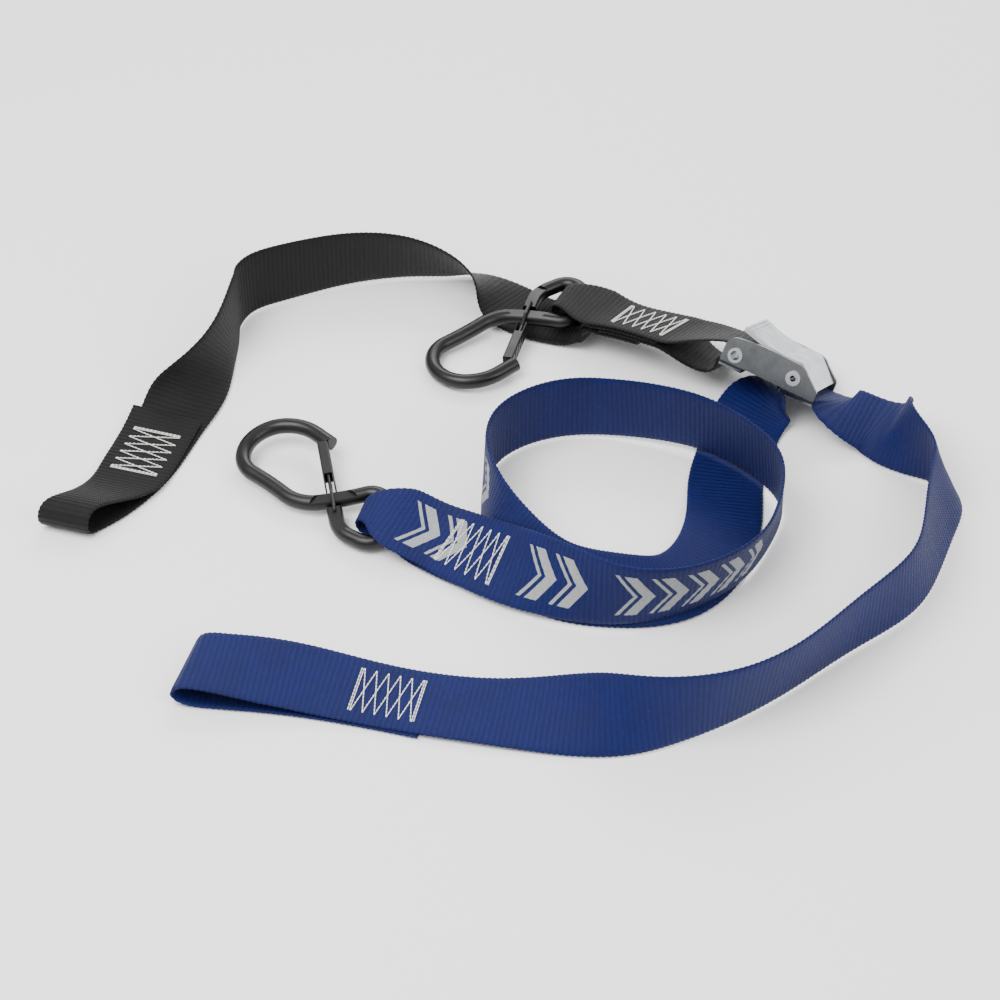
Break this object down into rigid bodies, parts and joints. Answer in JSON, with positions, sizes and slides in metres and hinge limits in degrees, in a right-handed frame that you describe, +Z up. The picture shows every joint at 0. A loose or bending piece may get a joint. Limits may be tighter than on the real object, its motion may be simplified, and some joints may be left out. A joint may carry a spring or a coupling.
{
  "type": "cam buckle tie-down",
  "caption": "Motorcycle cam-buckle tie-down: blue 38 mm load webbing, black anchor webbing with soft loop, two gated snap hooks, laid loose.",
  "frame": {"origin": "bottom centre of the laid-out strap's bounding box, on the surface it lies on", "axes": "+X along the layout's longest extent towards the buckle's exit, +Y away from the handle loop, +Z up"},
  "size_m": [0.4574, 0.3666, 0.0474],
  "materials": {
    "blue_webbing": "woven",
    "black_webbing": "woven",
    "white_thread": "matte",
    "black_steel": "powder coated",
    "black_sheet": "powder coated",
    "spring_wire": "blackened",
    "zinc_plate": "zinc plated",
    "rivet_steel": "zinc plated",
    "cam_metal": "cast",
    "bright_spring": "polished"
  },
  "bodies": {
    "straps": {"load_webbing_tail": "blue_webbing", "load_webbing_strand": "blue_webbing", "anchor_webbing": "black_webbing", "soft_loop_webbing": "black_webbing", "handle_stitching": "white_thread", "load_end_stitching": "white_thread", "anchor_stitching": "white_thread", "soft_loop_stitching": "white_thread", "buckle_frame": "zinc_plate", "anchor_rivet": "rivet_steel", "pivot_rivet": "rivet_steel"},
    "hook_a": {"hook_a_body": "black_steel"},
    "gate_a": {"hook_a_gate_wire": "spring_wire", "hook_a_gate_sleeve": "black_sheet"},
    "hook_b": {"hook_b_body": "black_steel"},
    "gate_b": {"hook_b_gate_wire": "spring_wire", "hook_b_gate_sleeve": "black_sheet"},
    "lever": {"cam_lever": "zinc_plate", "cam_block": "cam_metal", "cam_spring": "bright_spring"}
  },
  "joints": [
    {"name": "hook_a_swing", "type": "hinge", "parent": "straps", "child": "hook_a", "pos_m": [0.0428, 0.14729, 0.01287], "axis": [-0.03, 0.9991, 0.03], "range_deg": [0, 15]},
    {"name": "hook_b_swing", "type": "hinge", "parent": "straps", "child": "hook_b", "pos_m": [-0.056, -0.03221, 0.00787], "axis": [0.13, 0.9801, 0.15], "range_deg": [0, 15]},
    {"name": "gate_a_open", "type": "hinge", "parent": "hook_a", "child": "gate_a", "pos_m": [0.01569, 0.14144, 0.01049], "axis": [0.0829, 0.0321, -0.996], "range_deg": [0, 12], "stiffness_Nm_per_rad": 0.03, "springref_deg": -22.92},
    {"name": "gate_b_open", "type": "hinge", "parent": "hook_b", "child": "gate_b", "pos_m": [-0.08237, -0.02353, 0.00651], "axis": [-0.0879, -0.1299, 0.9876], "range_deg": [0, 12], "stiffness_Nm_per_rad": 0.03, "springref_deg": -22.92},
    {"name": "cam_release", "type": "hinge", "parent": "straps", "child": "lever", "pos_m": [0.15591, 0.07003, 0.02145], "axis": [-0.3608, -0.8048, 0.4713], "range_deg": [0, 10], "stiffness_Nm_per_rad": 0.08, "springref_deg": -28.65}
  ]
}
